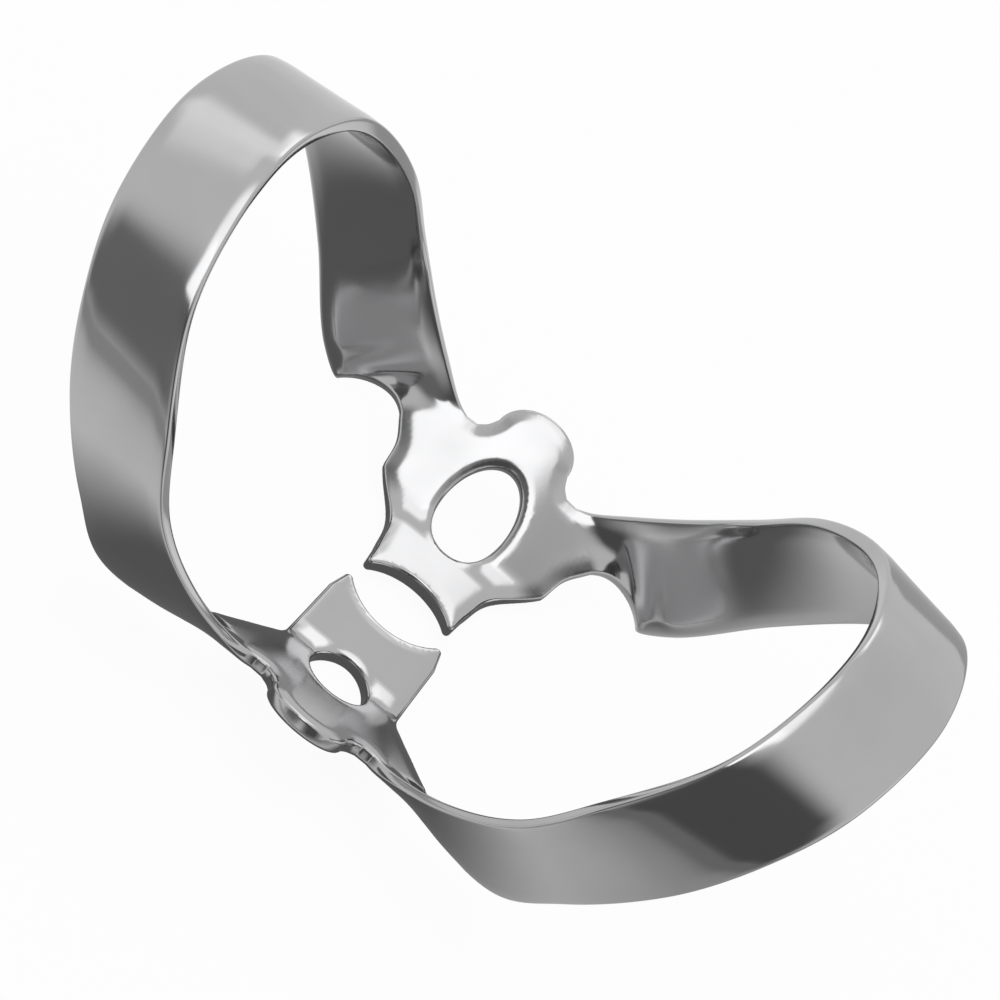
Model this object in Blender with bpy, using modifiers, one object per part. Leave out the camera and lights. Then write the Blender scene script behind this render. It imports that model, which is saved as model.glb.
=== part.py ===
"""Rubber dam clamp: one spring-steel sheet, two oval-holed jaw plates under two tilted bows.

Frame: X runs from bow to bow, Y from jaw to jaw, Z up. The clamp stands on its two jaw plates.
"""

import math

import bmesh
import bpy
import numpy as np

MM = 0.001

# the sheet
THICKNESS = 0.60
EDGE_ROUND = 0.09
EDGE_STEPS = 2

# side view of a jaw plate, lower face, y outwards from the middle of the clamp
BITE_SLOPE = math.radians(8.0)
REAR_SLOPE = math.radians(28.0)
PLATE_LEVEL = -0.35
BEND_START = 2.60
BEND_END = 4.40
BEND_STEPS = 6

# the nose behind each plate, and the neck where the arm leaves it
NECK_X = 2.25
NECK_Y = 7.05
NECK_FILLET_X = 1.86
NOSE_BASE_X = 1.60
NOSE_BASE_Y = 7.28
NOSE_HALF_WIDTH = 1.42
NOSE_ROUND_Y = 7.58
NOSE_END_Y = 8.58

# plate A, the one with the notches
A_BITE_Y = 1.18
A_TIP_X = 1.50
A_TIP_Y = 0.52
A_TIP_ROUND = 0.14
A_SIDE_X = 1.80
A_SIDE_Y = 1.30
A_WAIST_X = 2.12
A_WAIST_Y = 2.95
A_SHOULDER_X = 3.28
A_SHOULDER_Y = 4.36
A_NOTCH_X = 3.46
A_NOTCH_Y = 5.15
A_ROOT_X = 3.96
A_ROOT_Y = 5.86
A_ROOT_SHARE = 0.60
A_NOTCH_ROUNDNESS = 1.0
A_HOLE_Y = 4.90
A_HOLE_WIDTH = 2.36
A_HOLE_LENGTH = 3.36

# plate B, the straight-sided one
B_BITE_Y = 1.13
B_TIP_X = 1.68
B_TIP_Y = 0.42
B_TIP_ROUND = 0.16
B_SIDE_X = 2.12
B_SIDE_Y = 1.10
B_CORNER_X = 2.22
B_CORNER_Y = 4.05
B_CORNER_REACH = 0.42
B_ROOT_X = 4.20
B_ROOT_Y = 6.30
B_ROOT_SHARE = 0.85
B_NOTCH_ROUNDNESS = 0.0
B_HOLE_Y = 4.30
B_HOLE_WIDTH = 2.10
B_HOLE_LENGTH = 2.60

# rails of one bow on the outer face, from the crest down to the arm, as x, y and z
NEAR_CREST = (11.15, 0.0, 11.92)
NEAR_SHOULDER = (10.90, 2.75, 11.40)
NEAR_UPPER = (10.00, 5.85, 9.97)
NEAR_SIDE = (8.27, 7.79, 7.55)
NEAR_LOWER = (6.88, 8.36, 5.21)
NEAR_ARM = (4.85, 8.02, 3.12)
NEAR_BEND = (3.75, 7.67, 2.30)
FAR_CREST = (14.67, 0.0, 11.20)
FAR_SHOULDER = (14.36, 3.06, 10.80)
FAR_UPPER = (13.42, 5.82, 9.36)
FAR_SIDE = (11.58, 7.39, 6.10)
FAR_LOWER = (9.48, 7.55, 2.98)
FAR_ARM = (7.30, 6.80, 0.36)
A_FAR_CORNER = (6.22, 6.44, -0.30)
B_FAR_CORNER = (5.45, 6.50, 0.30)

ARM_ROWS = 20
ROOT_ROWS = 7
BAND_COLUMNS = 5
ARC_STEPS = 8
TIP_STEPS = 4

STEEL_GREY = (0.62, 0.63, 0.64, 1.0)


def clear_scene():
    for obj in list(bpy.data.objects):
        bpy.data.objects.remove(obj, do_unlink=True)


def steel():
    material = bpy.data.materials.new("polished_spring_steel")
    material.use_nodes = True
    shader = material.node_tree.nodes["Principled BSDF"]
    shader.inputs["Base Color"].default_value = STEEL_GREY
    shader.inputs["Metallic"].default_value = 1.0
    shader.inputs["Roughness"].default_value = 0.18
    return material


def plate_height(y):
    """Height of the lower face over the plan position y: straight, an even bend, straight."""
    before, after = -math.tan(BITE_SLOPE), math.tan(REAR_SLOPE)
    into = min(max(y - BEND_START, 0.0), BEND_END - BEND_START)
    height = PLATE_LEVEL + before * (y - BEND_START)
    height += (after - before) * into * into / (2.0 * (BEND_END - BEND_START))
    return height + (after - before) * max(y - BEND_END, 0.0)


def smooth_through(points, samples):
    """Points on a smooth curve through the given plan points, ends included."""
    points = np.array(points, float)
    knots = np.concatenate(([0.0], np.cumsum(np.linalg.norm(np.diff(points, axis=0), axis=1))))
    slopes = np.gradient(points, knots, axis=0)
    return hermite(knots, points, slopes, np.linspace(0.0, knots[-1], samples))


def hermite(knots, points, slopes, at):
    """Cubic curve with the given points and slopes at the knots."""
    span = np.clip(np.searchsorted(knots, at, side="right") - 1, 0, len(knots) - 2)
    length = (knots[span + 1] - knots[span])[:, None]
    f = ((at - knots[span])[:, None]) / length
    return ((1 + 2 * f) * (1 - f) ** 2 * points[span] + f * (1 - f) ** 2 * length * slopes[span]
            + f ** 2 * (3 - 2 * f) * points[span + 1] - f ** 2 * (1 - f) * length * slopes[span + 1])


def arc(centre, radii, start, end, steps):
    """Points on an ellipse's arc, angles in degrees."""
    angles = np.radians(np.linspace(start, end, steps + 1))
    return np.column_stack((centre[0] + radii[0] * np.cos(angles), centre[1] + radii[1] * np.sin(angles)))


def bite_and_tip(bite_y, tip_x, tip_y, tip_round):
    """The hollow biting edge from the middle out, then once round the prong's tip."""
    rise = bite_y - tip_y
    radius = (tip_x ** 2 + rise ** 2) / (2.0 * rise)
    reach = math.asin(tip_x / radius)
    bite = arc((0.0, bite_y - radius), (radius, radius), 90.0, 90.0 - math.degrees(reach), ARC_STEPS)
    centre = (tip_x + tip_round * math.sin(reach), tip_y + tip_round * math.cos(reach))
    tip = arc(centre, (tip_round, tip_round), -90.0 - math.degrees(reach), -5.0, TIP_STEPS)
    return np.vstack((bite, tip[1:]))


def round_corner(before, corner, after, reach, steps):
    """A corner rounded off between two straight sides, starting the given reach away from it."""
    before, corner, after = (np.array(p, float) for p in (before, corner, after))
    start = corner + (before - corner) * reach / np.linalg.norm(before - corner)
    end = corner + (after - corner) * reach / np.linalg.norm(after - corner)
    f = np.linspace(0.0, 1.0, steps + 1)[:, None]
    return (1 - f) ** 2 * start + 2 * f * (1 - f) * corner + f ** 2 * end


def half_plan(bite, side, hole_y, hole_width, hole_length, root):
    """Half of a jaw's plan outline, once round from the middle of the biting edge."""
    nose = smooth_through(((NECK_FILLET_X, NECK_Y + 0.02), (NOSE_BASE_X, NOSE_BASE_Y),
                           (NOSE_HALF_WIDTH, NOSE_ROUND_Y)), ARC_STEPS // 2 + 1)
    nose_end = arc((0.0, NOSE_ROUND_Y), (NOSE_HALF_WIDTH, NOSE_END_Y - NOSE_ROUND_Y), 0.0, 90.0, ARC_STEPS)
    hole = arc((0.0, hole_y), (hole_width / 2.0, hole_length / 2.0), 90.0, -90.0, 2 * ARC_STEPS)
    return np.vstack((bite, side, [root], [(NECK_X, NECK_Y)], nose, nose_end[1:], hole))


def filled_face(name, outline):
    """A flat mesh filled by a closed curve through the outline's points."""
    curve = bpy.data.curves.new(name, "CURVE")
    curve.dimensions = "2D"
    curve.fill_mode = "BOTH"
    spline = curve.splines.new("POLY")
    spline.points.add(len(outline) - 1)
    for point, (x, y) in zip(spline.points, outline):
        point.co = (x * MM, y * MM, 0.0, 1.0)
    spline.use_cyclic_u = True
    holder = bpy.data.objects.new(name, curve)
    bpy.context.scene.collection.objects.link(holder)
    bpy.context.view_layer.update()
    mesh = bpy.data.meshes.new_from_object(holder.evaluated_get(bpy.context.evaluated_depsgraph_get()))
    bpy.data.objects.remove(holder, do_unlink=True)
    bpy.data.curves.remove(curve)
    return mesh


def jaw(name, outline, root, away):
    """One half plate: filled outline, root edge divided for the arm, bent in side view."""
    mesh = filled_face(name, outline)
    bm = bmesh.new()
    bm.from_mesh(mesh)
    bpy.data.meshes.remove(mesh)
    bmesh.ops.remove_doubles(bm, verts=bm.verts, dist=0.001 * MM)
    bmesh.ops.dissolve_limit(bm, angle_limit=0.01, verts=bm.verts, edges=bm.edges)
    neck = np.array((NECK_X, NECK_Y)) * MM
    far = np.array(root) * MM
    ends = [min(bm.verts, key=lambda v: (v.co.x - p[0]) ** 2 + (v.co.y - p[1]) ** 2) for p in (neck, far)]
    edge = next(e for e in bm.edges if set(e.verts) == set(ends))
    bmesh.ops.subdivide_edges(bm, edges=[edge], cuts=BAND_COLUMNS - 1)
    for y in np.linspace(BEND_START, BEND_END, BEND_STEPS + 1):
        bmesh.ops.bisect_plane(bm, geom=bm.verts[:] + bm.edges[:] + bm.faces[:], dist=0.0005 * MM,
                               plane_co=(0.0, y * MM, 0.0), plane_no=(0.0, 1.0, 0.0))
    for vert in bm.verts:
        vert.co.z = plate_height(vert.co.y / MM) * MM
        vert.co.y *= away
    return bm


def rails(corner, root, root_share):
    """Knots, near and far rail points of one bow from the crest down to the jaw's root line.

    The far rail runs on past the notch: the root line is drawn out until it holds the root share.
    """
    neck_point = np.array((NECK_X, NECK_Y))
    drawn_out = neck_point + (np.array(root) - neck_point) / root_share
    neck_level = plate_height(NECK_Y)
    drawn_level = neck_level + (plate_height(root[1]) - neck_level) / root_share
    near = [NEAR_CREST, NEAR_SHOULDER, NEAR_UPPER, NEAR_SIDE, NEAR_LOWER, NEAR_ARM, NEAR_BEND,
            (NECK_X, NECK_Y, neck_level)]
    far = [FAR_CREST, FAR_SHOULDER, FAR_UPPER, FAR_SIDE, FAR_LOWER, FAR_ARM, corner,
           (drawn_out[0], drawn_out[1], drawn_level)]
    near, far = np.array(near), np.array(far)
    knots = np.concatenate(([0.0], np.cumsum(np.linalg.norm(np.diff(near, axis=0), axis=1))))
    return knots / knots[-1], near, far


def notch_trim(step, root_share, roundness):
    """Rail place and width share where the notch cuts the band, step 0 at the root, 1 at the corner."""
    turn = math.radians(90.0 * step)
    place = (1.0 - roundness) * step + roundness * math.sin(turn)
    opening = (1.0 - roundness) * step + roundness * (1.0 - math.cos(turn))
    return place, root_share + (1.0 - root_share) * opening


def band_point_maker():
    """A function from (row share, column share) to a point on the bow's outer face, jaw A to jaw B."""
    mirror = np.array((1.0, -1.0, 1.0))
    knots, near_a, far_a = rails(A_FAR_CORNER, (A_ROOT_X, A_ROOT_Y), A_ROOT_SHARE)
    _, near_b, far_b = rails(B_FAR_CORNER, (B_ROOT_X, B_ROOT_Y), B_ROOT_SHARE)
    all_knots = np.concatenate((-knots[:0:-1], knots))
    near = np.vstack((near_a[:0:-1], near_b * mirror))
    far = np.vstack((far_a[:0:-1], far_b * mirror))

    def slopes(points):
        slope = np.gradient(points, all_knots, axis=0)
        for end, inner, way in ((0, 1, 1.0), (-1, -2, -1.0)):
            flat = points[inner] - points[end]
            flat[2] = math.tan(REAR_SLOPE) * abs(flat[1]) * np.sign(abs(points[inner][1]) - abs(points[end][1]))
            slope[end] = way * flat / (all_knots[1] - all_knots[0])
        return slope

    near_slopes, far_slopes = slopes(near), slopes(far)

    def point(row, column):
        toward_b = row >= 0.5
        index = abs(2.0 * row - 1.0) * (ARM_ROWS + ROOT_ROWS)
        if index <= ARM_ROWS:
            knot, share = index / ARM_ROWS * knots[-2], column
        else:
            step = 1.0 - (index - ARM_ROWS) / ROOT_ROWS
            if toward_b:
                place, width = notch_trim(step, B_ROOT_SHARE, B_NOTCH_ROUNDNESS)
            else:
                place, width = notch_trim(step, A_ROOT_SHARE, A_NOTCH_ROUNDNESS)
            back = (1.0 - column) * step + column * place
            knot, share = 1.0 - back * (1.0 - knots[-2]), column * width
        at = np.array([knot if toward_b else -knot])
        a = hermite(all_knots, near, near_slopes, at)[0]
        b = hermite(all_knots, far, far_slopes, at)[0]
        return a + (b - a) * share

    return point


def bow(point):
    """The band of one bow as a grid laid on its rails."""
    bm = bmesh.new()
    bmesh.ops.create_grid(bm, x_segments=2 * (ARM_ROWS + ROOT_ROWS), y_segments=BAND_COLUMNS, size=0.5)
    for vert in bm.verts:
        x, y, z = point(vert.co.x + 0.5, vert.co.y + 0.5)
        vert.co = (x * MM, y * MM, z * MM)
    return bm


def add_mesh(target, source):
    """Copy one bmesh into another."""
    mesh = bpy.data.meshes.new("scratch")
    source.to_mesh(mesh)
    source.free()
    target.from_mesh(mesh)
    bpy.data.meshes.remove(mesh)


def build():
    clear_scene()
    side_a = smooth_through(((A_SIDE_X, A_SIDE_Y), (A_WAIST_X, A_WAIST_Y),
                             (A_SHOULDER_X, A_SHOULDER_Y)), ARC_STEPS)
    notch_a = smooth_through(((A_SHOULDER_X + 0.04, A_SHOULDER_Y + 0.12), (A_NOTCH_X, A_NOTCH_Y),
                              (A_ROOT_X, A_ROOT_Y)), ARC_STEPS)
    plan_a = half_plan(bite_and_tip(A_BITE_Y, A_TIP_X, A_TIP_Y, A_TIP_ROUND),
                       np.vstack((side_a, notch_a[:-1])),
                       A_HOLE_Y, A_HOLE_WIDTH, A_HOLE_LENGTH, (A_ROOT_X, A_ROOT_Y))
    corner_b = round_corner((B_SIDE_X, B_SIDE_Y), (B_CORNER_X, B_CORNER_Y), (B_ROOT_X, B_ROOT_Y),
                            B_CORNER_REACH, ARC_STEPS)
    plan_b = half_plan(bite_and_tip(B_BITE_Y, B_TIP_X, B_TIP_Y, B_TIP_ROUND),
                       np.vstack(([(B_SIDE_X, B_SIDE_Y)], corner_b)),
                       B_HOLE_Y, B_HOLE_WIDTH, B_HOLE_LENGTH, (B_ROOT_X, B_ROOT_Y))
    sheet = bmesh.new()
    add_mesh(sheet, jaw("jaw_a", plan_a, (A_ROOT_X, A_ROOT_Y), 1.0))
    add_mesh(sheet, jaw("jaw_b", plan_b, (B_ROOT_X, B_ROOT_Y), -1.0))
    add_mesh(sheet, bow(band_point_maker()))
    bmesh.ops.remove_doubles(sheet, verts=sheet.verts, dist=0.01 * MM)
    bmesh.ops.recalc_face_normals(sheet, faces=sheet.faces)
    sheet.faces.ensure_lookup_table()
    crest = max(sheet.faces, key=lambda f: f.calc_center_median().z)
    if crest.normal.z < 0.0:
        bmesh.ops.reverse_faces(sheet, faces=sheet.faces)
    lowest = min(v.co.z for v in sheet.verts)
    for vert in sheet.verts:
        vert.co.z -= lowest
    mesh = bpy.data.meshes.new("rubber_dam_clamp")
    sheet.to_mesh(mesh)
    sheet.free()
    clamp = bpy.data.objects.new("rubber_dam_clamp", mesh)
    home = bpy.data.collections.new("rubber_dam_clamp")
    bpy.context.scene.collection.children.link(home)
    home.objects.link(clamp)
    mesh.materials.append(steel())
    for polygon in mesh.polygons:
        polygon.use_smooth = True

    mirror = clamp.modifiers.new("other_half", "MIRROR")
    mirror.use_axis = (True, False, False)
    mirror.merge_threshold = 0.01 * MM
    solid = clamp.modifiers.new("sheet_thickness", "SOLIDIFY")
    solid.thickness = THICKNESS * MM
    solid.offset = -1.0
    solid.use_even_offset = True
    rounding = clamp.modifiers.new("edge_round", "BEVEL")
    rounding.width = EDGE_ROUND * MM
    rounding.segments = EDGE_STEPS
    rounding.limit_method = "ANGLE"
    rounding.angle_limit = math.radians(50.0)
    rounding.harden_normals = False


build()
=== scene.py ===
import math

import bmesh
import bpy
import numpy as np
from mathutils import Matrix, Vector
from mathutils.kdtree import KDTree


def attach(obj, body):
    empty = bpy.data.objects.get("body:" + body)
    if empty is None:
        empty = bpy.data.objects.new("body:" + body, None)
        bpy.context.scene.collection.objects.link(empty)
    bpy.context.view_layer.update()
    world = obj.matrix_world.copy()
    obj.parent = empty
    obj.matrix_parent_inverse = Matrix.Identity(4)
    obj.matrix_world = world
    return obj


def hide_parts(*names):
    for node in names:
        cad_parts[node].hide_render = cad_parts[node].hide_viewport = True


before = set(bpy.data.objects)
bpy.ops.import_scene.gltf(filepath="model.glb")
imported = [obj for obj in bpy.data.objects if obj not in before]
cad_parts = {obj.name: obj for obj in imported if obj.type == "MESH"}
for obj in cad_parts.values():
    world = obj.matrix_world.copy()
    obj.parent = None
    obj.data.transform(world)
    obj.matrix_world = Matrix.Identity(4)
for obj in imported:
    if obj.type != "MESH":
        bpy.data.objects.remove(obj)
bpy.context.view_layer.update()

# Sizes below are in millimetres, and MM turns them into metres.
MM = 0.001


# Camera. It looks down on the clamp at 45 degrees from the straight-sided jaw's end, rolled so
# that the bows run from top left to bottom right, with a long lens from 150 mm away.
VIEW_TURN = math.radians(0.254)
VIEW_RISE = math.radians(45.0)
VIEW_ROLL = math.radians(-40.416)
VIEW_DISTANCE = 151.5
LENS = 180.0
SENSOR_WIDTH = 36.0
CLIP_START = 10.0
VIEW_MIDDLE = (0.22, 0.39, 6.68)

sight = Vector((-math.sin(VIEW_TURN) * math.cos(VIEW_RISE),
                -math.cos(VIEW_TURN) * math.cos(VIEW_RISE), math.sin(VIEW_RISE)))
level = Vector((math.cos(VIEW_TURN), -math.sin(VIEW_TURN), 0.0))
upright = sight.cross(level)
camera_data = bpy.data.cameras.new("camera")
camera_data.lens = LENS
camera_data.sensor_width = SENSOR_WIDTH
camera_data.clip_start = CLIP_START * MM
camera = bpy.data.objects.new("camera", camera_data)
bpy.context.scene.collection.objects.link(camera)
bpy.context.scene.camera = camera
right = math.cos(VIEW_ROLL) * level - math.sin(VIEW_ROLL) * upright
up = math.sin(VIEW_ROLL) * level + math.cos(VIEW_ROLL) * upright
stand = Vector(VIEW_MIDDLE) * MM + sight * VIEW_DISTANCE * MM
camera.matrix_world = Matrix(((right.x, up.x, sight.x, stand.x),
                              (right.y, up.y, sight.y, stand.y),
                              (right.z, up.z, sight.z, stand.z),
                              (0.0, 0.0, 0.0, 1.0)))


# Spring steel, stainless, stamped and then tumble-polished bright. It mirrors the studio a little
# softly, with a patchy polishing haze, a slight wave left by the bending, and fine hairlines. The
# hairlines are drawn coarser than real ones so that they show.
STEEL_BRIGHT = "B8B8B9"
STEEL_HAZY = "ACACAD"
HAIRLINE_MM = 0.09
HAZE_MM = 2.2
HAIRLINE_STRETCH = 0.06
WAVE_MM = 3.5
WAVE_DEPTH_MM = 0.1
HAIRLINE_DEPTH_MM = 0.01
WAVE_STRENGTH = 0.06
HAIRLINE_STRENGTH = 0.02
HAZE_RANGE = (0.35, 0.7)
ROUGHNESS = (0.085, 0.13)


def linear(code):
    """A hex colour as Blender's linear numbers."""
    parts = [int(code[i:i + 2], 16) / 255.0 for i in (0, 2, 4)]
    return [p / 12.92 if p <= 0.04045 else ((p + 0.055) / 1.055) ** 2.4 for p in parts] + [1.0]


def add(tree, kind, settings=None, values=None, **links):
    """Adds one node with its settings and input values, and links sockets into it.

    A socket is named with _ for a space, or numbered from i0.
    """
    node = tree.nodes.new(kind)
    for key, value in (settings or {}).items():
        setattr(node, key, value)
    for key, value in (values or {}).items():
        node.inputs[key].default_value = value
    for key, socket in links.items():
        numbered = key[0] == "i" and key[1:].isdigit()
        tree.links.new(socket, node.inputs[int(key[1:]) if numbered else key.replace("_", " ")])
    return node


steel = bpy.data.materials.new("polished_stainless_spring_steel")
steel.use_nodes = True
tree = steel.node_tree
shader = tree.nodes["Principled BSDF"]
shader.inputs["Metallic"].default_value = 1.0
where = add(tree, "ShaderNodeTexCoord").outputs["Object"]
haze = add(tree, "ShaderNodeTexNoise", values={"Scale": 1.0 / (HAZE_MM * MM), "Detail": 4.0},
           Vector=where)
stretched = add(tree, "ShaderNodeMapping", values={"Scale": (1.0, HAIRLINE_STRETCH, 1.0)},
                Vector=where)
hairline = add(tree, "ShaderNodeTexNoise", values={"Scale": 1.0 / (HAIRLINE_MM * MM), "Detail": 2.0},
               Vector=stretched.outputs["Vector"])
wave = add(tree, "ShaderNodeTexNoise", values={"Scale": 1.0 / (WAVE_MM * MM), "Detail": 1.0},
           Vector=where)
tint = add(tree, "ShaderNodeMix", {"data_type": "RGBA"},
           {"A": linear(STEEL_BRIGHT), "B": linear(STEEL_HAZY)})
tree.links.new(haze.outputs["Fac"], tint.inputs[0])
tree.links.new(tint.outputs[2], shader.inputs["Base Color"])
rough = add(tree, "ShaderNodeMapRange",
            values={"From Min": HAZE_RANGE[0], "From Max": HAZE_RANGE[1],
                    "To Min": ROUGHNESS[0], "To Max": ROUGHNESS[1]},
            Value=haze.outputs["Fac"])
tree.links.new(rough.outputs["Result"], shader.inputs["Roughness"])
soft_wave = add(tree, "ShaderNodeBump",
                values={"Strength": WAVE_STRENGTH, "Distance": WAVE_DEPTH_MM * MM},
                Height=wave.outputs["Fac"])
fine_lines = add(tree, "ShaderNodeBump",
                 values={"Strength": HAIRLINE_STRENGTH, "Distance": HAIRLINE_DEPTH_MM * MM},
                 Height=hairline.outputs["Fac"], Normal=soft_wave.outputs["Normal"])
tree.links.new(fine_lines.outputs["Normal"], shader.inputs["Normal"])


# Jaw plates. Two facing plates of the same sheet, each stamped with a hollow biting edge between
# two prongs, an oval forceps hole and a rounded nose, then bent in side view at the hole's front.
THICKNESS = 0.60
BITE_SLOPE = math.radians(8.0)
REAR_SLOPE = math.radians(28.0)
PLATE_LEVEL = -0.35
BEND_START = 2.60
BEND_END = 4.40
NECK = (2.25, 7.05)
NOSE_FILLET_X = 1.86
NOSE_BASE = (1.60, 7.28)
NOSE_HALF_WIDTH = 1.42
NOSE_ROUND_Y = 7.58
NOSE_END_Y = 8.58
JAW_A = {"bite_y": 1.18, "tip": (1.50, 0.52), "tip_round": 0.14, "hole_y": 4.90, "hole": (2.36, 3.36),
         "root": (3.96, 5.86), "root_share": 0.60, "roundness": 1.0, "far_corner": (6.22, 6.44, -0.30),
         "away": 1.0}
JAW_B = {"bite_y": 1.13, "tip": (1.68, 0.42), "tip_round": 0.16, "hole_y": 4.30, "hole": (2.10, 2.60),
         "root": (4.20, 6.30), "root_share": 0.85, "roundness": 0.0, "far_corner": (5.45, 6.50, 0.30),
         "away": -1.0}
SIDE_A_FRONT = ((1.80, 1.30), (2.12, 2.95), (3.28, 4.36))
SIDE_A_NOTCH = ((3.32, 4.48), (3.46, 5.15), JAW_A["root"])
SIDE_B = ((2.12, 1.10), (2.22, 4.05), JAW_B["root"])
SIDE_B_ROUND = 0.42
TIP_ARC_END = -5.0
ARC = 20


def plate_height(y):
    """Height of the lower face over the plan position y: straight, an even bend, straight."""
    before, after = -math.tan(BITE_SLOPE), math.tan(REAR_SLOPE)
    into = min(max(y - BEND_START, 0.0), BEND_END - BEND_START)
    height = PLATE_LEVEL + before * (y - BEND_START)
    height += (after - before) * into * into / (2.0 * (BEND_END - BEND_START))
    return height + (after - before) * max(y - BEND_END, 0.0)


def hermite(knots, points, slopes, at):
    """Cubic curve with the given points and slopes at the knots."""
    span = np.clip(np.searchsorted(knots, at, side="right") - 1, 0, len(knots) - 2)
    length = (knots[span + 1] - knots[span])[:, None]
    f = ((at - knots[span])[:, None]) / length
    return ((1 + 2 * f) * (1 - f) ** 2 * points[span] + f * (1 - f) ** 2 * length * slopes[span]
            + f ** 2 * (3 - 2 * f) * points[span + 1] - f ** 2 * (1 - f) * length * slopes[span + 1])


def smooth_through(points, samples):
    """Points on a smooth curve through the given plan points, ends included."""
    points = np.array(points, float)
    knots = np.concatenate(([0.0], np.cumsum(np.linalg.norm(np.diff(points, axis=0), axis=1))))
    slopes = np.gradient(points, knots, axis=0)
    return hermite(knots, points, slopes, np.linspace(0.0, knots[-1], samples))


def arc(centre, radii, start, end, steps):
    """Points on an ellipse's arc, angles in degrees."""
    angles = np.radians(np.linspace(start, end, steps + 1))
    return np.column_stack((centre[0] + radii[0] * np.cos(angles),
                            centre[1] + radii[1] * np.sin(angles)))


def round_corner(before, corner, after, reach, steps):
    """A corner rounded off between two straight sides, starting the given reach away from it."""
    before, corner, after = (np.array(p, float) for p in (before, corner, after))
    start = corner + (before - corner) * reach / np.linalg.norm(before - corner)
    end = corner + (after - corner) * reach / np.linalg.norm(after - corner)
    f = np.linspace(0.0, 1.0, steps + 1)[:, None]
    return (1 - f) ** 2 * start + 2 * f * (1 - f) * corner + f ** 2 * end


def half_outline(jaw, side):
    """Half of a jaw's stamped outline, once round from the middle of the biting edge."""
    tip_x, tip_y = jaw["tip"]
    rise = jaw["bite_y"] - tip_y
    radius = (tip_x ** 2 + rise ** 2) / (2.0 * rise)
    reach = math.asin(tip_x / radius)
    turn, tip_round = math.degrees(reach), jaw["tip_round"]
    bite = arc((0.0, jaw["bite_y"] - radius), (radius, radius), 90.0, 90.0 - turn, ARC)
    centre = (tip_x + tip_round * math.sin(reach), tip_y + tip_round * math.cos(reach))
    tip = arc(centre, (tip_round, tip_round), -90.0 - turn, TIP_ARC_END, ARC // 2)
    nose = smooth_through(((NOSE_FILLET_X, NECK[1] + 0.02), NOSE_BASE, (NOSE_HALF_WIDTH, NOSE_ROUND_Y)),
                          ARC // 2)
    nose_end = arc((0.0, NOSE_ROUND_Y), (NOSE_HALF_WIDTH, NOSE_END_Y - NOSE_ROUND_Y), 0.0, 90.0, ARC)
    hole_radii = (jaw["hole"][0] / 2.0, jaw["hole"][1] / 2.0)
    hole = arc((0.0, jaw["hole_y"]), hole_radii, 90.0, -90.0, 2 * ARC)
    return np.vstack((bite, tip[1:], side, [jaw["root"], NECK], nose, nose_end[1:], hole))


side_a = np.vstack((smooth_through(SIDE_A_FRONT, ARC), smooth_through(SIDE_A_NOTCH, ARC)[:-1]))
side_b = np.vstack(([SIDE_B[0]], round_corner(*SIDE_B, SIDE_B_ROUND, ARC)))


# Bows. Two wide bands of the same sheet join the plates. Each leaves a plate at the neck beside
# the nose, twists to stand on edge, and climbs outwards to a crest over the side of the tooth.
NEAR_EDGE = ((11.15, 0.0, 11.92), (10.90, 2.75, 11.40), (10.00, 5.85, 9.97), (8.27, 7.79, 7.55),
             (6.88, 8.36, 5.21), (4.85, 8.02, 3.12), (3.75, 7.67, 2.30))
FAR_EDGE = ((14.67, 0.0, 11.20), (14.36, 3.06, 10.80), (13.42, 5.82, 9.36), (11.58, 7.39, 6.10),
            (9.48, 7.55, 2.98), (7.30, 6.80, 0.36))
BAND_WIDTH = 3.8
ARM_LENGTH = 18.0
SPARE_LENGTH = 0.5


def edges_of(jaw):
    """Knots, near and far edge points of one bow from the crest down to the jaw's root line."""
    neck, root = np.array(NECK), np.array(jaw["root"])
    drawn_out = neck + (root - neck) / jaw["root_share"]
    neck_level = plate_height(NECK[1])
    drawn_level = neck_level + (plate_height(jaw["root"][1]) - neck_level) / jaw["root_share"]
    near = np.array(NEAR_EDGE + ((NECK[0], NECK[1], neck_level),))
    far = np.array(FAR_EDGE + (jaw["far_corner"], (drawn_out[0], drawn_out[1], drawn_level)))
    knots = np.concatenate(([0.0], np.cumsum(np.linalg.norm(np.diff(near, axis=0), axis=1))))
    return knots / knots[-1], near, far


flip = np.array((1.0, -1.0, 1.0))
knots, near_a, far_a = edges_of(JAW_A)
near_b, far_b = edges_of(JAW_B)[1:]
all_knots = np.concatenate((-knots[:0:-1], knots))
near = np.vstack((near_a[:0:-1], near_b * flip))
far = np.vstack((far_a[:0:-1], far_b * flip))


def end_slopes(points):
    """Slopes along one edge, with the ends lying in the jaw plates."""
    slope = np.gradient(points, all_knots, axis=0)
    for end, inner, way in ((0, 1, 1.0), (-1, -2, -1.0)):
        flat = points[inner] - points[end]
        flat[2] = math.tan(REAR_SLOPE) * (abs(points[inner][1]) - abs(points[end][1]))
        slope[end] = way * flat / (all_knots[1] - all_knots[0])
    return slope


near_slopes, far_slopes = end_slopes(near), end_slopes(far)


def bow_point(jaw, knot, share):
    """A point on the bow's outer face, knot 0 at the crest to 1 at the root, share 0 near, 1 far."""
    at = np.array([-jaw["away"] * knot])
    a = hermite(all_knots, near, near_slopes, at)[0]
    return a + (hermite(all_knots, far, far_slopes, at)[0] - a) * share


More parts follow.
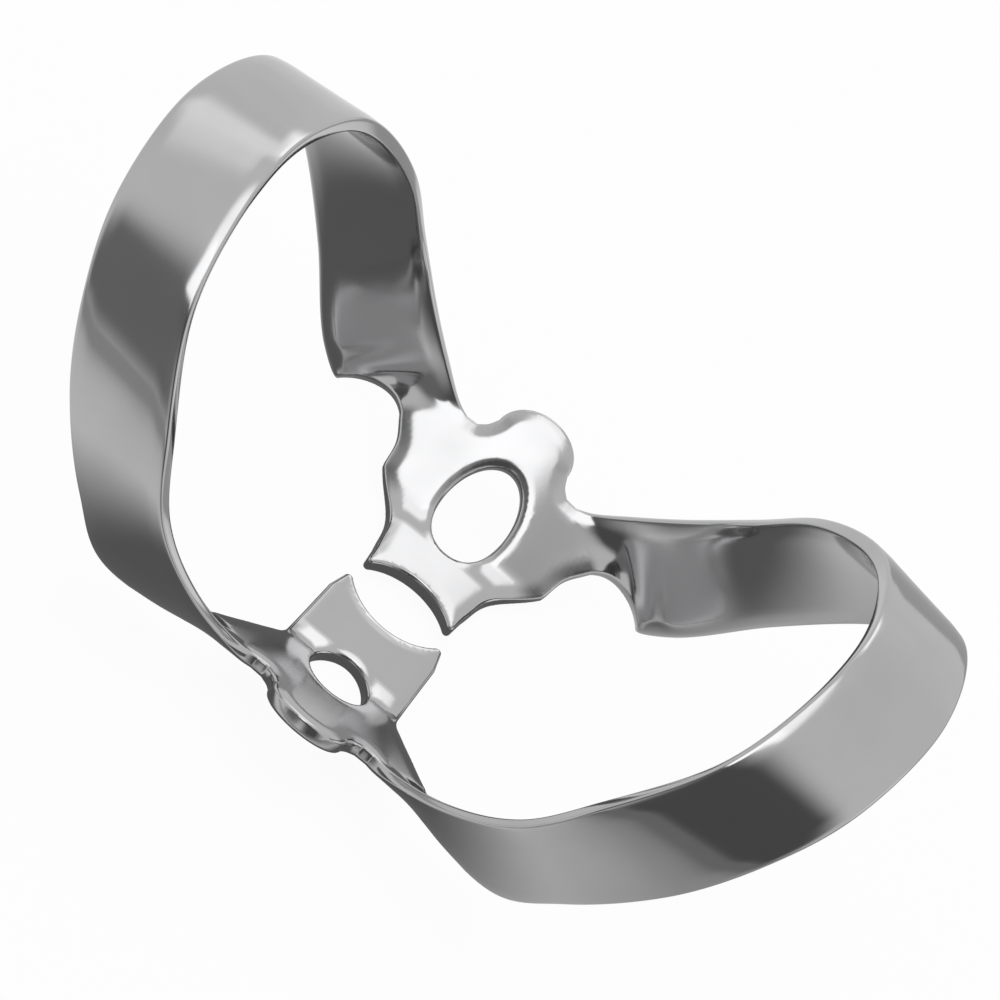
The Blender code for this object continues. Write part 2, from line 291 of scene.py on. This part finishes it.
# The whole clamp. The plates and bows are one sheet without a seam. Tumbling has rounded every
# stamped edge and rolled the margins over, so each face falls away slightly towards its rim, and
# the plates' upper faces are slightly crowned from the middle to the roots of the arms.
EDGE_RADIUS = 0.10
RIM_STEPS = (0.100, 0.062, 0.030, 0.008)
MARGIN_WIDTH = 0.42
MARGIN_SLOPE = 0.12
PILLOW_REACH = 4.6
PILLOW_DROP = 0.17
HOLE_HALF_WIDTH = 1.3
HOLE_SPAN = (2.6, 7.0)
LIP_WIDTH = 0.27
LIP_SLOPE = 0.22
GRID_MM = 0.14
ROOT_CUTS = 16
ARM_CUTS = 90
WIDTH_CUTS = 20
CUT_SNAP = 0.002
BLANK_WELD = 0.005
WELD = 0.004
SOLVE_ROUNDS = 12
NUDGE = 0.01
KNOT_NUDGE = 0.002
TIGHT_REACH = 1.1
TIGHT_ROUNDS = 8
PLATE, ROOT, ARM = 0, 1, 2


def blank_frame(jaw):
    """The flat blank's root patch: its four corners, and the directions across and along the arm."""
    neck, root = np.array(NECK), np.array(jaw["root"])
    drawn_out = neck + (root - neck) / jaw["root_share"]
    bend = np.array(NEAR_EDGE[-1][:2])
    across = np.array(jaw["far_corner"][:2]) - bend
    across = across / np.linalg.norm(across)
    along = np.array((-across[1], across[0]))
    return neck, drawn_out, bend, bend + BAND_WIDTH * across, across, along


def blank_point(jaw, step, share):
    """A place in the flat blank's root patch, step 0 at the plate to 1 at the arm."""
    neck, drawn_out, bend, corner = blank_frame(jaw)[:4]
    at_plate = (1 - share) * neck + share * drawn_out
    at_arm = (1 - share) * bend + share * corner
    return (1 - step) * at_plate + step * at_arm


def cut(bm, region, start, end, clear=False):
    """Cuts the faces of one region along a straight line of the flat blank."""
    faces = [f for f in bm.faces if f.material_index == region]
    parts = faces + list({e for f in faces for e in f.edges})
    parts += list({v for f in faces for v in f.verts})
    side = Vector((start[1] - end[1], end[0] - start[0], 0.0)).normalized()
    bmesh.ops.bisect_plane(bm, geom=parts, dist=CUT_SNAP, plane_co=(start[0], start[1], 0.0),
                           plane_no=side, clear_outer=clear)


def formed(jaw, x, y, on_plate):
    """Where a place of the flat blank ends up when bent, and the outer face's normal there."""
    neck, drawn_out, bend, corner, across, along = blank_frame(jaw)
    from_bend = np.array((x, y)) - bend
    length, share = from_bend @ along, from_bend @ across / BAND_WIDTH
    knot = knots[-2] * (1.0 - length / ARM_LENGTH)
    if length <= 0.0:
        step, share = 0.5, 0.5
        for _ in range(SOLVE_ROUNDS):
            gap = np.array((x, y)) - blank_point(jaw, step, share)
            by_step = (1 - share) * (bend - neck) + share * (corner - drawn_out)
            by_share = (1 - step) * (drawn_out - neck) + step * (corner - bend)
            change = np.linalg.solve(np.column_stack((by_step, by_share)), gap)
            step, share = step + change[0], share + change[1]
        knot = 1.0 - step * (1.0 - knots[-2])
    if on_plate or knot >= 1.0:
        slope = (plate_height(y + NUDGE) - plate_height(y - NUDGE)) / (2.0 * NUDGE)
        normal = Vector((0.0, jaw["away"] * slope, -1.0)).normalized()
        return Vector((x, y * jaw["away"], plate_height(y))), normal
    ahead = bow_point(jaw, knot - KNOT_NUDGE, share)
    behind = bow_point(jaw, min(knot + KNOT_NUDGE, 1.0), share)
    outward = bow_point(jaw, knot, share + NUDGE) - bow_point(jaw, knot, share - NUDGE)
    normal = Vector(np.cross(ahead - behind, outward) * jaw["away"]).normalized()
    return Vector(bow_point(jaw, knot, share)), normal


def half_sheet(jaw, side):
    """Half of one jaw with its arms up to the crest: a flat blank, its rim ringed, then formed."""
    bm = bmesh.new()
    neck, _, bend, corner, across, along = blank_frame(jaw)
    steps, roundness = 1.0 - np.linspace(0.0, 1.0, ARC + 1), jaw["roundness"]
    quarter = np.radians(90.0 * steps)
    place = (1 - roundness) * steps + roundness * np.sin(quarter)
    opening = (1 - roundness) * steps + roundness * (1 - np.cos(quarter))
    share = jaw["root_share"] + (1 - jaw["root_share"]) * opening
    notch = [blank_point(jaw, a, b) for a, b in zip(place, share)]
    crest = (ARM_LENGTH + SPARE_LENGTH) * along
    outline = half_outline(jaw, side)
    corners = {}

    def vertex(point):
        key = (round(float(point[0]), 4), round(float(point[1]), 4))
        if key not in corners:
            corners[key] = bm.verts.new((float(point[0]), float(point[1]), 0.0))
        return corners[key]

    for mark, loop in ((PLATE, outline), (ROOT, [bend] + notch + [neck]),
                       (ARM, [bend + crest, corner + crest, corner, bend])):
        face = bm.faces.new([vertex(point) for point in loop])
        face.material_index = mark
    bmesh.ops.mirror(bm, geom=bm.verts[:] + bm.edges[:] + bm.faces[:], axis="X",
                     merge_dist=BLANK_WELD)
    bmesh.ops.recalc_face_normals(bm, faces=bm.faces)
    for distance in RIM_STEPS:
        bmesh.ops.inset_region(bm, faces=bm.faces, thickness=distance, use_boundary=True,
                               use_even_offset=True)
    bmesh.ops.bisect_plane(bm, geom=bm.verts[:] + bm.edges[:] + bm.faces[:], dist=CUT_SNAP,
                           plane_co=(0, 0, 0), plane_no=(-1, 0, 0), clear_outer=True)
    for place in np.arange(GRID_MM, jaw["root"][0] + SPARE_LENGTH, GRID_MM):
        cut(bm, PLATE, (place, 0.0), (place, 1.0))
    for place in np.arange(GRID_MM, NOSE_END_Y, GRID_MM):
        cut(bm, PLATE, (0.0, place), (1.0, place))
    for step in np.arange(1, ROOT_CUTS) / ROOT_CUTS:
        cut(bm, ROOT, blank_point(jaw, step, 0.0), blank_point(jaw, step, 1.0))
    for share in np.arange(1, WIDTH_CUTS) / WIDTH_CUTS:
        cut(bm, ROOT, blank_point(jaw, 0.0, share), blank_point(jaw, 1.0, share))
        start = bend + share * BAND_WIDTH * across
        cut(bm, ARM, start, start + along)
    for length in np.arange(1, ARM_CUTS + 1) * ARM_LENGTH / ARM_CUTS:
        start = bend + length * along
        cut(bm, ARM, start, start + across, clear=bool(length > ARM_LENGTH - CUT_SNAP))
    on_plate = {v for f in bm.faces if f.material_index == PLATE for v in f.verts}
    on_plate -= {v for f in bm.faces if f.material_index != PLATE for v in f.verts}
    for vert in bm.verts:
        vert.co, normal = formed(jaw, vert.co.x, vert.co.y, vert in on_plate)
        normals.append((vert.co.copy(), normal))
    return bm


normals = []
sheet = bmesh.new()
for jaw, side in ((JAW_A, side_a), (JAW_B, side_b)):
    scratch = bpy.data.meshes.new("scratch")
    part = half_sheet(jaw, side)
    part.to_mesh(scratch)
    part.free()
    sheet.from_mesh(scratch)
    bpy.data.meshes.remove(scratch)
bmesh.ops.remove_doubles(sheet, verts=sheet.verts, dist=WELD)
lift = -min(plate_height(y) for y in np.arange(BEND_START, BEND_END, NUDGE))
bmesh.ops.mirror(sheet, geom=sheet.verts[:] + sheet.edges[:] + sheet.faces[:], axis="X",
                 merge_dist=CUT_SNAP)
known = KDTree(len(normals))
for index, (place, normal) in enumerate(normals):
    known.insert(place, index)
known.balance()
facing = sheet.verts.layers.float_vector.new("facing")
for vert in sheet.verts:
    normal = normals[known.find((abs(vert.co.x), vert.co.y, vert.co.z))[1]][1]
    vert[facing] = Vector((math.copysign(normal.x, normal.x * vert.co.x), normal.y, normal.z))
bmesh.ops.translate(sheet, verts=sheet.verts, vec=(0.0, 0.0, lift))
rims = {"outside": [], "hole": []}
for edge in sheet.edges:
    if edge.is_boundary:
        ends = [vert.co.copy() for vert in edge.verts]
        middle = (ends[0] + ends[1]) / 2.0
        in_hole = abs(middle.x) < HOLE_HALF_WIDTH and HOLE_SPAN[0] < abs(middle.y) < HOLE_SPAN[1]
        rims["hole" if in_hole else "outside"] += [middle] + ends
nearest = {}
for name, points in rims.items():
    nearest[name] = KDTree(len(points))
    for index, co in enumerate(points):
        nearest[name].insert(co, index)
    nearest[name].balance()
half = THICKNESS / 2.0
for vert in sheet.verts:
    outside, hole = (nearest[name].find(vert.co)[2] for name in ("outside", "hole"))
    corner = min(max(EDGE_RADIUS - min(outside, hole), 0.0), EDGE_RADIUS)
    drop = EDGE_RADIUS - math.sqrt(EDGE_RADIUS ** 2 - corner ** 2)
    drop += MARGIN_SLOPE * max(MARGIN_WIDTH - outside, 0.0)
    drop += LIP_SLOPE * max(LIP_WIDTH - hole, 0.0)
    spread = (vert.co.x / PILLOW_REACH) ** 2
    pillow = PILLOW_DROP * spread * math.exp(1.0 - spread)
    vert.co -= vert[facing] * (half - pillow / 2.0)
    vert[facing] = vert[facing] * (half - drop - pillow / 2.0)
lower = bmesh.ops.extrude_face_region(sheet, geom=sheet.faces[:], use_keep_orig=True)["geom"]
lower = {g for g in lower if isinstance(g, bmesh.types.BMVert)}
for vert in sheet.verts:
    vert.co += vert[facing] * (-1.0 if vert in lower else 1.0)
tight = Vector((JAW_B["far_corner"][0], -JAW_B["far_corner"][1], JAW_B["far_corner"][2] + lift))
around = [v for v in sheet.verts
          if (Vector((abs(v.co.x), v.co.y, v.co.z)) - tight).length < TIGHT_REACH]
for _ in range(TIGHT_ROUNDS):
    bmesh.ops.smooth_vert(sheet, verts=around, factor=0.5,
                          use_axis_x=True, use_axis_y=True, use_axis_z=True)
bmesh.ops.scale(sheet, verts=sheet.verts, vec=(MM, MM, MM))
bmesh.ops.recalc_face_normals(sheet, faces=sheet.faces)
for face in sheet.faces:
    face.material_index = 0


def face_order(face):
    """A number that puts the faces in the same order on each run."""
    centre = face.calc_center_median()
    return centre.x + 0.618 * centre.y + 0.382 * centre.z


sheet.faces.sort(key=face_order)
clamp_mesh = bpy.data.meshes.new("clamp")
sheet.to_mesh(clamp_mesh)
sheet.free()
clamp_mesh.materials.append(steel)
clamp_mesh.shade_smooth()
clamp = bpy.data.objects.new("clamp", clamp_mesh)
bpy.context.scene.collection.objects.link(clamp)
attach(clamp, "root")
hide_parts("rubber_dam_clamp")


# Studio. A white paper floor in a pale room. Polished steel shows what stands around it, so the
# room has bright windows opposite the camera and overhead, and a grey flag at each side of the
# camera. All of them are soft zones of the world's light, which the camera itself sees as white.
ROOM_LIGHT = 0.92
ZONES = (
    # In degrees: turn from +Y towards +X, height, half width, half height, soft edge. Then strength.
    (-154.0, 38.0, 20.0, 38.0, 24.0, 0.24),  # flag left of the camera
    (154.0, 33.0, 21.0, 40.0, 24.0, 0.12),  # flag right of the camera
    (76.0, 17.0, 14.0, 14.0, 10.0, 1.25),  # low window at the right
    (-27.0, 46.0, 9.0, 14.0, 10.0, 1.4),  # window beside the left bow's crest
    (-3.0, 72.0, 9.0, 22.0, 4.0, 1.9),  # high window opposite the camera
    (-164.0, 80.0, 7.0, 13.0, 3.0, 2.2),  # window overhead
    (-3.0, 34.0, 9.0, 14.0, 9.0, 2.0),  # low window opposite the camera
    (-3.0, 60.0, 18.0, 10.0, 9.0, 0.95),  # grey wall between those two
)
FLOOR_HALF_WIDTH = 1000.0
FLOOR_PAPER = "F4F4F4"
FLOOR_WHITE = 0.95
# Painted shade in the floor's reflection: a painted shadow pool under the clamp, which only the steel
# mirrors.
PAINTED_SHADE_MIDDLE = (-2.0, -3.0)
PAINTED_SHADE_REACH = (11.0, 13.0)
PAINTED_SHADE_EDGE = (0.65, 1.25)
PAINTED_SHADE_TONES = (0.15, 0.95)
# Painted shade in the floor's reflection: darker towards the front and towards the right, which only
# the steel mirrors.
PAINTED_FRONT_SHADE_FADE = (-60.0, -10.0)
PAINTED_FRONT_SHADE_TONE = 0.45
PAINTED_RIGHT_SHADE_FADE = (4.0, 18.0)
PAINTED_RIGHT_SHADE_TONE = 0.55


def soft_band(tree, across, ahead, half, soft):
    """1 inside the half angle, falling softly to 0 outside it."""
    angle = add(tree, "ShaderNodeMath", {"operation": "ARCTAN2"}, i0=across, i1=ahead)
    size = add(tree, "ShaderNodeMath", {"operation": "ABSOLUTE"}, i0=angle.outputs["Value"])
    outer, inner = math.radians(half + soft / 2.0), math.radians(half - soft / 2.0)
    return add(tree, "ShaderNodeMapRange", {"interpolation_type": "SMOOTHSTEP"},
               {"From Min": outer, "From Max": inner}, Value=size.outputs["Value"]).outputs["Result"]


world = bpy.data.worlds.new("studio_room")
bpy.context.scene.world = world
world.use_nodes = True
room = world.node_tree
looking = add(room, "ShaderNodeTexCoord").outputs["Generated"]
brightness = add(room, "ShaderNodeValue").outputs["Value"]
brightness.default_value = ROOM_LIGHT
for turn, rise, half_width, half_height, soft, strength in ZONES:
    t, r = math.radians(turn), math.radians(rise)
    forward = Vector((math.sin(t) * math.cos(r), math.cos(t) * math.cos(r), math.sin(r)))
    sideways = Vector((math.cos(t), -math.sin(t), 0.0))
    across, over, ahead = (
        add(room, "ShaderNodeVectorMath", {"operation": "DOT_PRODUCT"}, {1: axis},
            i0=looking).outputs["Value"]
        for axis in (sideways, sideways.cross(forward), forward))
    mask = add(room, "ShaderNodeMath", {"operation": "MULTIPLY"},
               i0=soft_band(room, across, ahead, half_width, soft),
               i1=soft_band(room, over, ahead, half_height, soft)).outputs["Value"]
    mixed = add(room, "ShaderNodeMix", values={"B": strength}, Factor=mask, A=brightness)
    brightness = mixed.outputs["Result"]
ray = add(room, "ShaderNodeLightPath").outputs
plain = add(room, "ShaderNodeMath", {"operation": "MAXIMUM"},
            i0=ray["Is Camera Ray"], i1=ray["Is Transmission Ray"])
strength = add(room, "ShaderNodeMix", values={"B": 1.0}, Factor=plain.outputs["Value"], A=brightness)
background = room.nodes["Background"]
background.inputs["Color"].default_value = (1.0, 1.0, 1.0, 1.0)
room.links.new(strength.outputs["Result"], background.inputs["Strength"])

floor_bm = bmesh.new()
bmesh.ops.create_grid(floor_bm, x_segments=1, y_segments=1, size=FLOOR_HALF_WIDTH * MM)
floor_mesh = bpy.data.meshes.new("floor")
floor_bm.to_mesh(floor_mesh)
floor_bm.free()
paper = bpy.data.materials.new("white_paper_floor")
paper.use_nodes = True
paper_tree = paper.node_tree
matte = paper_tree.nodes["Principled BSDF"]
matte.inputs["Base Color"].default_value = linear(FLOOR_PAPER)
matte.inputs["Roughness"].default_value = 0.9
matte.inputs["Specular IOR Level"].default_value = 0.0
glow = add(paper_tree, "ShaderNodeEmission", values={"Color": (1.0, 1.0, 1.0, 1.0)})
paths = add(paper_tree, "ShaderNodeLightPath").outputs
seen = add(paper_tree, "ShaderNodeMath", {"operation": "MAXIMUM"},
           i0=paths["Is Camera Ray"], i1=paths["Is Glossy Ray"])
seen = add(paper_tree, "ShaderNodeMath", {"operation": "MAXIMUM"},
           i0=seen.outputs["Value"], i1=paths["Is Transmission Ray"])
share = add(paper_tree, "ShaderNodeMath", {"operation": "MULTIPLY"}, {1: FLOOR_WHITE},
            i0=seen.outputs["Value"])

# Painted shade that the steel mirrors of the floor: a painted shadow under the clamp, and painted
# darkening to the front and right.
place = add(paper_tree, "ShaderNodeTexCoord").outputs["Object"]
spot = add(paper_tree, "ShaderNodeMapping", {"vector_type": "TEXTURE"},
           {"Location": (PAINTED_SHADE_MIDDLE[0] * MM, PAINTED_SHADE_MIDDLE[1] * MM, 0.0),
            "Scale": (PAINTED_SHADE_REACH[0] * MM, PAINTED_SHADE_REACH[1] * MM, 1.0)}, Vector=place)
away = add(paper_tree, "ShaderNodeVectorMath", {"operation": "LENGTH"}, i0=spot.outputs["Vector"])
painted_shade_under = add(paper_tree, "ShaderNodeMapRange", {"interpolation_type": "SMOOTHSTEP"},
            {"From Min": PAINTED_SHADE_EDGE[0], "From Max": PAINTED_SHADE_EDGE[1],
             "To Min": PAINTED_SHADE_TONES[0], "To Max": PAINTED_SHADE_TONES[1]}, Value=away.outputs["Value"])
plan = add(paper_tree, "ShaderNodeSeparateXYZ", Vector=place).outputs
# Painted darkening of the mirrored floor towards the front and towards the right.
painted_front_shade = add(paper_tree, "ShaderNodeMapRange", {"interpolation_type": "SMOOTHSTEP"},
            {"From Min": PAINTED_FRONT_SHADE_FADE[0] * MM, "From Max": PAINTED_FRONT_SHADE_FADE[1] * MM,
             "To Min": PAINTED_FRONT_SHADE_TONE, "To Max": 1.0}, Value=plan["Y"])
painted_right_shade = add(paper_tree, "ShaderNodeMapRange", {"interpolation_type": "SMOOTHSTEP"},
               {"From Min": PAINTED_RIGHT_SHADE_FADE[0] * MM, "From Max": PAINTED_RIGHT_SHADE_FADE[1] * MM,
                "To Min": 1.0, "To Max": PAINTED_RIGHT_SHADE_TONE}, Value=plan["X"])
far = add(paper_tree, "ShaderNodeMath", {"operation": "MULTIPLY"},
          i0=painted_front_shade.outputs["Result"], i1=painted_right_shade.outputs["Result"])
painted_floor_shade = add(paper_tree, "ShaderNodeMath", {"operation": "MULTIPLY"},
           i0=painted_shade_under.outputs["Result"], i1=far.outputs["Value"])
# Only glossy rays get the painted shade; camera rays see the paper plain white.
painted_floor_shade = add(paper_tree, "ShaderNodeMix", values={"A": 1.0},
           Factor=paths["Is Glossy Ray"], B=painted_floor_shade.outputs["Value"])
paper_tree.links.new(painted_floor_shade.outputs["Result"], glow.inputs["Strength"])
blend = add(paper_tree, "ShaderNodeMixShader", i0=share.outputs["Value"], i1=matte.outputs["BSDF"],
            i2=glow.outputs["Emission"])
paper_tree.links.new(blend.outputs["Shader"], paper_tree.nodes["Material Output"].inputs["Surface"])
floor_mesh.materials.append(paper)
floor = bpy.data.objects.new("floor", floor_mesh)
bpy.context.scene.collection.objects.link(floor)

bpy.context.scene.view_settings.view_transform = "Standard"
